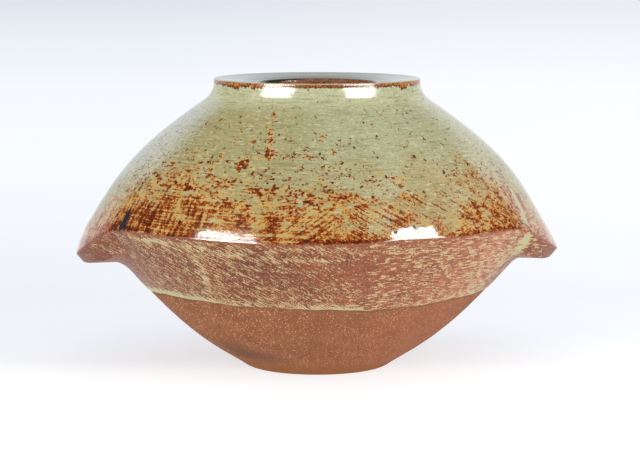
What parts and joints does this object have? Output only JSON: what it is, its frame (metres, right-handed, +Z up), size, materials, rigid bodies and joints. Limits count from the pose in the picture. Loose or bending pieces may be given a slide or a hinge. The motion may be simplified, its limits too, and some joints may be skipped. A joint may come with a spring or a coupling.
{
  "type": "stoneware jar",
  "caption": "Squat thrown stoneware jar: lens-shaped body with a sharp waist, solid drooping side lugs, low neck, dished mouth flange and small turned foot.",
  "frame": {"origin": "centre of the foot's resting plane, on the jar's axis", "axes": "+Z up along the jar's axis, the lugs point along +X and -X, and the pictured front faces -Y"},
  "size_m": [0.2596, 0.2444, 0.155],
  "materials": {
    "stoneware_body": "matte",
    "celadon_glaze": "gloss",
    "rim_glaze": "gloss",
    "rust_glaze": "satin"
  },
  "bodies": {
    "root": {"lower_bowl": "stoneware_body", "upper_dome": "celadon_glaze", "mouth_collar": "rim_glaze", "lug_left": "rust_glaze", "lug_right": "rust_glaze"}
  },
  "joints": []
}
